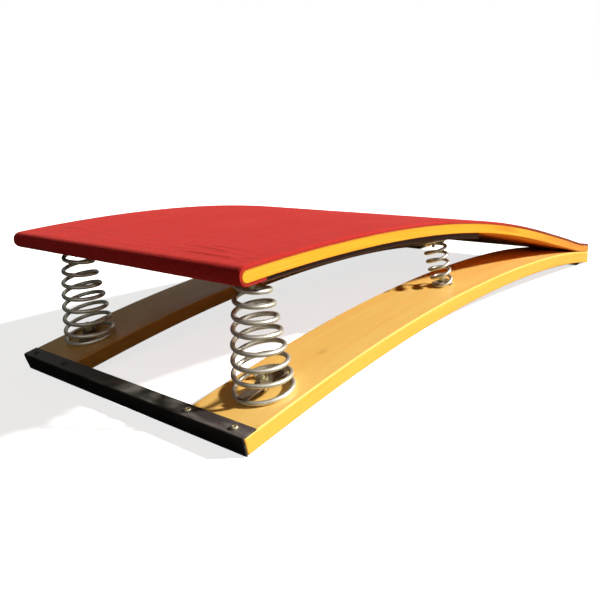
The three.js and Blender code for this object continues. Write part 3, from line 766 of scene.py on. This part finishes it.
# ---------------------------------------------------------------- steel angle, high end
def build_angle():
    """Painted angle over the rails' toes: one flange down the front, one along the top."""
    z, top = ANGLE_Z, ANGLE_Z + ANGLE_T
    face, back = -GAP - ANGLE_T, -GAP
    profile = [(face, 0.6), (back, 0.6), (back, 7), (back, 14), (back, 21.2), (back, z),
               (24.5, z), (24.5, top), (face, top), (face, 21.2), (face, 14), (face, 7)]
    loop = fillet(profile, {0: 0.9, 1: 0.9, 5: 0.5, 6: 0.9, 7: 0.9, 8: 2.8}, steps=6, guard=0.1)
    rings = extrude(loop, -296.0, HALF_W, 0.5, steps=3, guard=0.3,
                    between=np.linspace(-285, 295, 59))
    x, along, height = rings[:, :, 0], rings[:, :, 1], rings[:, :, 2]
    # the left end is cut on a slant, further in at the bottom
    slant = np.maximum(0.0, 8 - 9 * (height + 1) / 25)
    x += slant * np.clip((-285.0 - x) / 6.0, 0, 1)
    # shallow knocks in the top flange and its bend: x, spread, depth
    knocks = ((-42, 9, 0.35), (96, 6, 0.3), (150, 12, 0.22))
    dent = sum(depth * np.exp(-((x - at) / spread) ** 2) for at, spread, depth in knocks)
    height -= np.where(height > z + 1.5, dent * np.clip((6 - along) / 8, 0, 1), 0)
    piece("steel_angle", skin(rings), BLACK, "front_angle_bar", "base",
          frame=toe_frame(0.0, 0.0))


def build_angle_bolt(label, sx, bolt_x):
    """A button-head bolt with a six-sided recess, and its nut under the toe."""
    frame = toe_frame(sx * bolt_x, ANGLE_BOLT_Y)
    top = ANGLE_Z + ANGLE_T + GAP
    shank = [(0, 1.4), (2.5, 1.4)] + threaded(3.0, 1.9, 9.5, pitch=1.0, deep=0.4)
    shank += [(3.0, 10.0), (3.0, top), (5.15, top), (5.35, top + 0.3)]
    dome = [(3.55 + 1.75 * math.cos(a), top + 0.7 + 2.2 * math.sin(a))
            for a in np.linspace(0, math.pi / 2, 8)]
    recess = [(2.75, top + 3.22), (2.45, top + 3.1), (2.2, top + 2.7), (2.1, top + 1.3),
              (1.2, top + 1.15), (0, top + 1.1)]
    verts, faces = lathe(shank + dome + recess, 48)
    # draw the round recess in to six sides, turned differently on each bolt
    r = np.hypot(verts[:, 0], verts[:, 1])
    spin = np.arctan2(verts[:, 1], verts[:, 0]) + 0.3 + 0.9 * bolt_x
    hexed = math.cos(math.pi / 6) / np.cos((spin % (math.pi / 3)) - math.pi / 6)
    inside = (verts[:, 2] > top + 1.0) & (r < 2.5) & (r > 0.5)
    verts[:, :2] *= np.where(inside, hexed, 1.0)[:, None]
    # the left-hand bolt heads lie in the deck's shade and take the black paint: painted shade
    material, slot = (BLACK, "black_paint") if sx < 0 else (ZINC, "zinc_steel")
    piece(f"angle_bolt_dome_{label}", (verts, faces), material, f"angle_bolt_{label}",
          "base", frame, sharp=32)
    fitting(f"angle_hex_{label}", hex_nut(10, 3.2, 2.6, 7.7), frame, f"angle_nut_{label}")


build_angle()
for side, sx in SIDES.items():
    for row, bolt_x in ANGLE_BOLTS.items():
        build_angle_bolt(f"{side}_{row}", sx, bolt_x)


# ---------------------------------------------------------------- springs and their fittings
def spring_path(spring, base, top, sx):
    """Centre line of the wire between two seats, and its outward directions."""
    turns = np.array(spring.turns[sx], float)
    angle = np.arange(turns[0, 0] - FLAT_COIL, turns[-1, 0] + FLAT_COIL + 1e-6,
                      360.0 / STEPS_PER_TURN)
    h = np.interp(angle, turns[:, 0], turns[:, 1] / turns[-1, 1])
    # smooth the kinks between the measured coils
    kernel = np.hanning(13)
    kernel /= kernel.sum()
    h = np.convolve(np.pad(h, 6, mode="edge"), kernel, "valid")

    # the axis is halfway between a straight line and a curve square to both seats
    lift = spring.wire / 2 + 0.25
    y0, z0 = offset(*base, lift)
    y1, z1 = offset(*top, -lift)
    pull = math.hypot(y1 - y0, z1 - z0) * 0.5
    pull0, pull1 = -math.sin(base[2]) * pull, -math.sin(top[2]) * pull
    h2, h3 = h * h, h ** 3
    curve = ((2 * h3 - 3 * h2 + 1) * y0 + (h3 - 2 * h2 + h) * pull0
             + (-2 * h3 + 3 * h2) * y1 + (h3 - h2) * pull1)
    centre = np.stack([sx * (spring.base[0] + (spring.top[0] - spring.base[0]) * h),
                       0.5 * (y0 + (y1 - y0) * h + curve),
                       z0 + (z1 - z0) * h], 1)

    # the coils lean, but both end coils lie flat on their seats
    lo, hi = np.clip(h / 0.15, 0, 1), np.clip((1 - h) / 0.15, 0, 1)
    ease = lo * lo * (3 - 2 * lo) * hi * hi * (3 - 2 * hi)
    roll = sx * spring.lean[0] * ease
    tilt = base[2] + (top[2] - base[2]) * h + spring.lean[1] * ease
    radius = spring.base_r + (spring.top_r - spring.base_r) * h + spring.bulge * h * (1 - h)
    c, s = np.cos(np.radians(spring.wound * angle)), np.sin(np.radians(spring.wound * angle))
    out = np.stack([c * np.cos(roll), s * np.cos(tilt), s * np.sin(tilt) + c * np.sin(roll)], 1)
    return centre + out * radius[:, None], out


def wire(path, out, r, n=16):
    """A round wire along a path, with softened ends: its solid and its grain."""
    along = np.gradient(path, axis=0)
    along /= np.linalg.norm(along, axis=1)[:, None]
    side = out - along * np.sum(out * along, 1)[:, None]
    side /= np.linalg.norm(side, axis=1)[:, None]
    other = np.cross(along, side)
    a = np.linspace(0, 2 * math.pi, n, endpoint=False)
    c, s = np.cos(a), np.sin(a)
    run = np.concatenate([[0], np.cumsum(np.linalg.norm(np.diff(path, axis=0), axis=1))])
    last = len(path) - 1
    rings = [(0, 0.6, 0.0), (0, 0.86, 0.05), (0, 1.0, 0.6)]       # point, scale, push
    rings += [(i, 1.0, 0.0) for i in range(1, last)]
    rings += [(last, 1.0, -0.6), (last, 0.86, -0.05), (last, 0.6, 0.0)]
    rows, grain = [], []
    for i, scale, push in rings:
        circle = side[i] * c[:, None] + other[i] * s[:, None]
        rows.append(path[i] + along[i] * push + circle * r * scale)
        grain.append(np.column_stack([c * r, np.full(n, run[i]), s * r]))
    return skin(np.stack(rows)), np.concatenate(grain)


def build_base_clamp(spring, label, frame, z, turn):
    """Strap, bolt, washer and nut on the rail; z is the strap's lower face."""
    bolt_r = spring.bolt_r
    top = z + spring.strap_t
    fitting(f"clamp_strap_{label}",
            strap(2 * (spring.base_r + 2), spring.strap_w, z, top, 0.6, turn),
            frame, f"spring_strap_{label}", material=DARK)
    head = spring.shelf - SEAT_GAP
    tip = top + spring.bolt_up
    bolt = [(0, head - 6), (bolt_r * 1.55, head - 6), (bolt_r * 1.78, head - 5.4),
            (bolt_r * 1.8, head - 0.4), (bolt_r * 1.7, head), (bolt_r, head), (bolt_r, z)]
    bolt += threaded(bolt_r, top - 1.0, tip - 1.4, spring.pitch, deep=0.6)
    bolt += [(bolt_r - 0.9, tip - 0.6), (bolt_r - 1.3, tip), (0, tip)]
    fitting(f"clamp_bolt_{label}", lathe(bolt, 40), frame, f"spring_bolt_{label}")
    z = top + GAP
    fitting(f"clamp_washer_{label}", washer(spring.washer_r, bolt_r + 0.15, z, z + 1.6),
            frame, f"spring_washer_{label}", material=DARK)
    z += 1.8
    fitting(f"clamp_nut_{label}", hex_nut(spring.nut_af, bolt_r + 0.05, z, z + spring.nut_h),
            frame, f"spring_nut_{label}")


def build_top_clamp(spring, label, frame, z, turn):
    """Strap, bolt and nut under the deck; z is the strap's upper face."""
    bolt_r = spring.top_bolt_r
    panel = BATTEN_T + GAP + DECK_T
    under = z - TOP_STRAP_T
    fitting(f"head_strap_{label}",
            strap(2 * (spring.top_r + spring.top_strap_over), spring.top_strap_w,
                  under, z, 0.5, turn),
            frame, f"top_strap_{label}", "deck", DARK_STEEL_SHADED)
    bolt = [(0, z - 13), (bolt_r - 1.0, z - 13), (bolt_r - 0.6, z - 12.6)]
    bolt += threaded(bolt_r, z - 12, z - 2.5, pitch=1.0, deep=0.45)
    bolt += [(bolt_r, z), (bolt_r, panel - 6), (bolt_r * 1.9, panel - 1.6),
             (bolt_r * 1.9, panel - 0.6), (0, panel - 0.6)]
    fitting(f"head_bolt_{label}", lathe(bolt, 36), frame, f"top_bolt_{label}", "deck")
    nut_top = under - GAP
    fitting(f"head_nut_{label}",
            hex_nut(spring.top_nut_af, bolt_r + 0.05, nut_top - spring.top_nut_h, nut_top),
            frame, f"top_nut_{label}", "deck")


def build_spring(spring, label, sx):
    base, top = seat_on_rail(spring.base[1]), seat_under_deck(spring.top[1])
    solid, grain = wire(*spring_path(spring, base, top, sx), spring.wire / 2)
    coil = piece(f"coil_{label}", solid, SPRING_STEEL, f"spring_{label}",
                 grain=grain, sharp=50)
    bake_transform(coil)
    clear = spring.wire + 0.5 + GAP       # from a seat to its strap
    first, last = spring.turns[sx][0][0], spring.turns[sx][-1][0]
    build_base_clamp(spring, label, sloped_frame(sx * spring.base[0], *base), clear,
                     spring.wound * math.radians(first - spring.strap_lag))
    build_top_clamp(spring, label, sloped_frame(sx * spring.top[0], *top), -clear,
                    spring.wound * math.radians(last + spring.strap_lag + 6))


def build_heel_screw(label, x):
    """An upright screw from the rail into the low end of the deck."""
    head = HEEL_SHELF - SEAT_GAP
    profile = [(0, -23.5), (4.6, -23.5), (5.6, -22.9), (5.8, -20.5), (5.6, head), (3, head),
               (3, -12)]
    profile += threaded(3.0, -11.0, 7.5, pitch=2.0, deep=0.7)
    profile += [(2.2, 8.3), (0.6, 11.0), (0, 11.0)]
    fitting(f"heel_screw_turned_{label}", lathe(profile, 32),
            sloped_frame(x, *seat_on_rail(HEEL_Y)), f"heel_screw_{label}")


for side, sx in SIDES.items():
    for end, spring in SPRINGS.items():
        build_spring(spring, f"{end}_{side}", sx)
    for row, screw_x in HEEL_SCREWS.items():
        build_heel_screw(f"{side}_{row}", sx * screw_x)

# ---------------------------------------------------------------- deck panel
DECK_STATIONS = ([-570.0] + list(np.arange(-560, 531, 10.0))
                 + [537.0, 541.0, 545.0, 552.0, 560.0, 568.0, 576.0, 584.0, 592.0, HALF])


def deck_upper(distance):
    """The deck's lower face raised by a distance, less the taper of the low end."""
    def thinned(y):
        return max(0.0, (y - TAPER_Y) / (HALF - TAPER_Y)) * TAPER
    return end_square([deck_point(y, distance - thinned(y)) for y in DECK_STATIONS])


def deck_nose(distance, steps=10):
    """The rounded high end from bottom to top, swollen by a distance."""
    y0 = NOSE_Y
    z0 = deck_z(NOSE_Y + NOSE_R) - math.tan(NOSE_ANGLE) * NOSE_R
    c, s = math.cos(NOSE_ANGLE), math.sin(NOSE_ANGLE)
    r = NOSE_R + distance
    points = []
    for centre, start in ((NOSE_R, -math.pi / 2), (DECK_T - NOSE_R, math.pi)):
        for i in range(steps + 1):
            a = start - i * math.pi / (2 * steps)
            along, up = NOSE_R + r * math.cos(a), centre + r * math.sin(a)
            points.append((y0 + along * c - up * s, z0 + along * s + up * c))
    return points


def build_deck():
    front = deck_nose(0)[::-1] + [(y, deck_z(y)) for y in DECK_STATIONS]
    corner = len(front)
    loop = fillet(front + deck_upper(DECK_T)[::-1], {corner - 1: 2.6, corner: 2.6},
                  steps=4, guard=0.5)
    verts, faces = skin(extrude(loop, -HALF_W, HALF_W, 1.7, between=np.linspace(-280, 280, 15)))
    heights = [deck_height(y, z) for y, z in verts[:, 1:]]
    grain = np.column_stack([verts[:, 0] + 1500, verts[:, 1], heights])
    deck = piece("deck_board", (verts, faces), DECK_WOOD, "deck_panel", grain=grain)
    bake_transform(deck)


def build_batten(side, sx):
    """A board under the deck that the springs bear on."""
    stations = [-535.0] + list(np.arange(-528, 54, 8.0)) + [60.0]
    upper = [deck_point(y, -GAP - 0.05) for y in stations]
    lower = [deck_point(y, -(GAP + BATTEN_T) + 0.1) for y in stations]
    k = len(stations)
    loop = fillet(lower + upper[::-1], {0: 2.6, k - 1: 2.6, k: 2.5, 2 * k - 1: 2.5},
                  steps=4, guard=0.5)
    outer = HALF_W - BATTEN_IN
    x0 = outer - BATTEN_W if sx > 0 else -outer
    verts, faces = skin(extrude(loop, x0, x0 + BATTEN_W, 1.6, between=np.arange(-300, 300, 20)))
    heights = [deck_height(y, z) + BATTEN_T + GAP for y, z in verts[:, 1:]]
    grain = np.column_stack([verts[:, 0] + sx * 900, verts[:, 1], heights])
    piece(f"spring_batten_{side}", (verts, faces), BATTEN_WOOD,
          f"batten_{side}", "deck", grain=grain)


build_deck()
for side, sx in SIDES.items():
    build_batten(side, sx)

# ---------------------------------------------------------------- carpet
# Wrinkles: x, distance back from the nose, half length, half width, turn (degrees), height
WRINKLES = (
    (200, 39, 64, 3.6, -2, 1.9), (178, 66, 56, 4.0, -7, 1.8), (192, 83, 38, 4.2, -4, 1.3),
    (262, 46, 26, 4.0, 14, 1.1), (120, 52, 60, 5.0, 5, 0.8), (-206, 78, 62, 4.4, -2, 1.7),
    (-188, 20, 48, 4.0, 4, 1.2), (-226, 52, 44, 4.2, 6, 1.1), (-60, 40, 90, 5.0, -4, 0.7),
    (30, 30, 90, 4.6, 4, 0.75), (10, 76, 130, 9.0, 3, 0.4), (-130, 104, 90, 11.0, -6, 0.35),
    (60, 128, 120, 13.0, 5, 0.3))


def run_along(line):
    return np.concatenate([[0], np.cumsum(np.linalg.norm(np.diff(line, axis=0), axis=1))])


def carpet_line():
    """Inner face from the low end, over the deck, round the nose and back underneath."""
    fold = [deck_z_point(y) for y in (-572.0, -566.0, -560.0, -554.0, -548.0, -542.0,
                                      CARPET_FOLD_Y)]
    line = np.array(deck_upper(DECK_T + GAP)[::-1] + deck_nose(GAP)[::-1] + fold)
    run = run_along(line)
    even = np.linspace(0, run[-1], int(round(run[-1] / 2.5)) + 1)
    line = np.column_stack([np.interp(even, run, line[:, 0]), np.interp(even, run, line[:, 1])])
    fine = 128            # points kept close together, where the carpet wrinkles
    return np.concatenate([line[:-fine:2], line[-fine:]])


def deck_z_point(y):
    """Just below the deck; the nose's slope is used near the nose."""
    return offset(y, deck_z(y), NOSE_ANGLE if y < -560 else deck_angle(y), -GAP)


def carpet_faces(nx, ns):
    """Outer and inner grids of nx by ns points, joined round their borders."""
    inner = nx * ns
    faces = []
    for i in range(nx - 1):
        for j in range(ns - 1):
            a = i * ns + j
            b = inner + a
            faces.append((a, a + 1, a + ns + 1, a + ns))
            faces.append((b, b + ns, b + ns + 1, b + 1))
    for j in range(ns - 1):
        faces.append((j, inner + j, inner + j + 1, j + 1))
        a = (nx - 1) * ns + j
        faces.append((a, a + 1, inner + a + 1, inner + a))
    for i in range(nx - 1):
        a = i * ns
        faces.append((a, a + ns, inner + a + ns, inner + a))
        a += ns - 1
        faces.append((a, inner + a, inner + a + ns, a + ns))
    return faces


def build_carpet():
    line = carpet_line()
    along = np.gradient(line, axis=0)
    along /= np.linalg.norm(along, axis=1)[:, None]
    run = run_along(line)
    margin = np.array([0.0, 0.4, 1.2, 2.4, 4.5])      # closer columns at both side edges
    columns = np.concatenate([margin - HALF_W, np.arange(-292, 293, 5.84),
                              (HALF_W - margin)[::-1]])
    x, s = np.meshgrid(columns, run, indexing="ij")
    behind = run[np.argmin(line[:, 0])] - s           # distance back from the nose along the top
    edge = np.minimum(np.abs(x + HALF_W), np.abs(x - HALF_W))
    ends = np.minimum(s, run[-1] - s)

    # unevenness and wrinkles, dying out towards the edges
    wave = (0.22 * wobble(x / 38, s / 31, 1.0) + 0.12 * wobble(x / 13, s / 11, 4.0)
            + 0.05 * wobble(x / 4.1, s / 4.3, 2.0))
    for x0, s0, length, width, turn, height in WRINKLES:
        cos, sin = math.cos(math.radians(turn)), math.sin(math.radians(turn))
        u = (x - x0) * cos + (behind - s0) * sin
        v = -(x - x0) * sin + (behind - s0) * cos
        wave = wave + height * np.exp(-(u / length) ** 2 - (v / width) ** 2)
    wave = wave * np.clip(edge / 10, 0.15, 1) * np.clip(ends / 12, 0.1, 1)

    # the cut edges are a little rounded and wander slightly
    arc = np.sqrt(np.clip(1 - (1 - edge / 4.5) ** 2, 0, 1))
    soft = np.where(edge < 4.5, 1 - arc, 0) * 1.5
    soft_end = np.where(ends < 3.0, 1 - ends / 3.0, 0) * 1.1
    thick = np.maximum(1.2, CARPET_T - 0.35 + wave - soft - soft_end)
    wander = 0.35 + 0.3 * wobble(s / 17, 3, 5.0) + 0.2 * wobble(s / 5.3, 0, 9.0)
    x_cut = x - np.sign(x) * np.clip(1 - edge / 40, 0, 1) * wander.clip(0, 1.0)

    def sheet(height):
        return np.stack([x_cut, line[:, 0] + along[:, 1] * height,
                         line[:, 1] - along[:, 0] * height], -1).reshape(-1, 3)

    verts = np.concatenate([sheet(thick), sheet(np.full_like(x, 0.02))])
    heights = np.concatenate([thick.ravel(), np.zeros(x.size)])
    grain = np.column_stack([np.tile(x.ravel(), 2), np.tile(-s.ravel(), 2) + HALF, heights])
    carpet = piece("carpet", (verts, carpet_faces(*x.shape)), CARPET,
                   "carpet_cover", grain=grain, sharp=60)
    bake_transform(carpet)


build_carpet()


# ---------------------------------------------------------------- floor, light and camera
def stage_floor():
    half, z = 60.0, -0.0005
    mesh = bpy.data.meshes.new("floor")
    mesh.from_pydata([(-half, -half, z), (half, -half, z), (half, half, z), (-half, half, z)],
                     [], [(0, 1, 2, 3)])
    n = Surface("floor_pale")
    n.finish(Base_Color=srgb(240, 240, 240), Roughness=0.9, Specular_IOR_Level=0.0,
             Emission_Color=(1, 1, 1, 1), Emission_Strength=0.74)
    # what the object sees of the floor, so that it isn't flooded from below
    dim = n.node("BsdfDiffuse", {0: (0.17, 0.155, 0.14, 1)})
    seen = n.node("LightPath", out="Is Camera Ray")
    n.put(n.output.inputs[0], n.node("MixShader", {0: seen, 1: dim, 2: n.bsdf.outputs[0]}))
    mesh.materials.append(n.material)
    link(bpy.data.objects.new("floor", mesh))


def add_light(name, kind, direction, location=(0, 0, 0), **settings):
    """A light shining from a direction."""
    light = bpy.data.lights.new(name, kind)
    for key, value in settings.items():
        setattr(light, key, value)
    obj = bpy.data.objects.new(name, light)
    obj.location = location
    obj.rotation_euler = direction.to_track_quat("Z", "Y").to_euler()
    link(obj)


def build_world():
    """White to the camera, a soft box to shiny parts, a dim warm fill to everything else."""
    world = bpy.data.worlds.new("studio")
    bpy.context.scene.world = world
    n = Nodes(world)
    rays = n.tree.nodes.new("ShaderNodeLightPath").outputs
    facing = n.node("VectorMath", {0: n.node("TexCoord", out="Generated"),
                                   1: Vector((0.62, 0.45, 0.64)).normalized()},
                    out="Value", operation="DOT_PRODUCT")
    glow = n.node("MapRange", {"Value": facing, "From Min": -0.15, "From Max": 0.92,
                               "To Min": 0.07, "To Max": 1.3})
    soft_box = n.node("Background", {"Color": (1, 0.985, 0.96, 1), "Strength": glow})
    ambient = n.node("Background", {"Color": (1.0, 0.93, 0.84, 1), "Strength": 0.065})
    seen = n.node("Background", {"Color": (1, 1, 1, 1), "Strength": 1.0})
    lit = n.node("MixShader", {0: rays["Is Glossy Ray"], 1: ambient, 2: soft_box})
    both = n.node("MixShader", {0: rays["Is Camera Ray"], 1: lit, 2: seen})
    n.put(n.tree.nodes.new("ShaderNodeOutputWorld").inputs[0], both)


def build_camera():
    data = bpy.data.cameras.new("camera")
    data.sensor_fit = "HORIZONTAL"
    data.sensor_width = 36.0
    data.lens = 41.6388
    data.clip_start = 0.02
    data.clip_end = 100.0
    camera = bpy.data.objects.new("camera", data)
    place = (0.92763, -1.14809 + SHIFT * MM, 0.45259)
    yaw, pitch, roll = (math.radians(a) for a in (43.1076, 16.2181, -4.1715))
    back = Vector((math.sin(yaw) * math.cos(pitch), -math.cos(yaw) * math.cos(pitch),
                   math.sin(pitch)))
    level = Vector((0, 0, 1)).cross(back).normalized()
    upright = back.cross(level)
    c, s = math.cos(roll), math.sin(roll)
    right, up = level * c + upright * s, upright * c - level * s
    camera.matrix_world = Matrix([*zip(right, up, back, place), (0, 0, 0, 1)])
    link(camera)
    bpy.context.scene.camera = camera


stage_floor()
add_light("key", "SUN", Vector((1.0, 0.75, 0.69)),
          energy=6.6, color=(1.0, 0.965, 0.90), angle=math.radians(4.0))
fill_from = Vector((0.5, -1.0, 0.9)).normalized()
add_light("fill", "AREA", fill_from, location=Vector((0, 0, 0.08)) + fill_from * 5.0,
          shape="DISK", size=3.5, energy=7, color=(1.0, 0.97, 0.93))
build_world()
build_camera()
bpy.context.scene.view_settings.view_transform = "Standard"
bpy.context.scene.view_settings.look = "None"

bpy.context.view_layer.update()
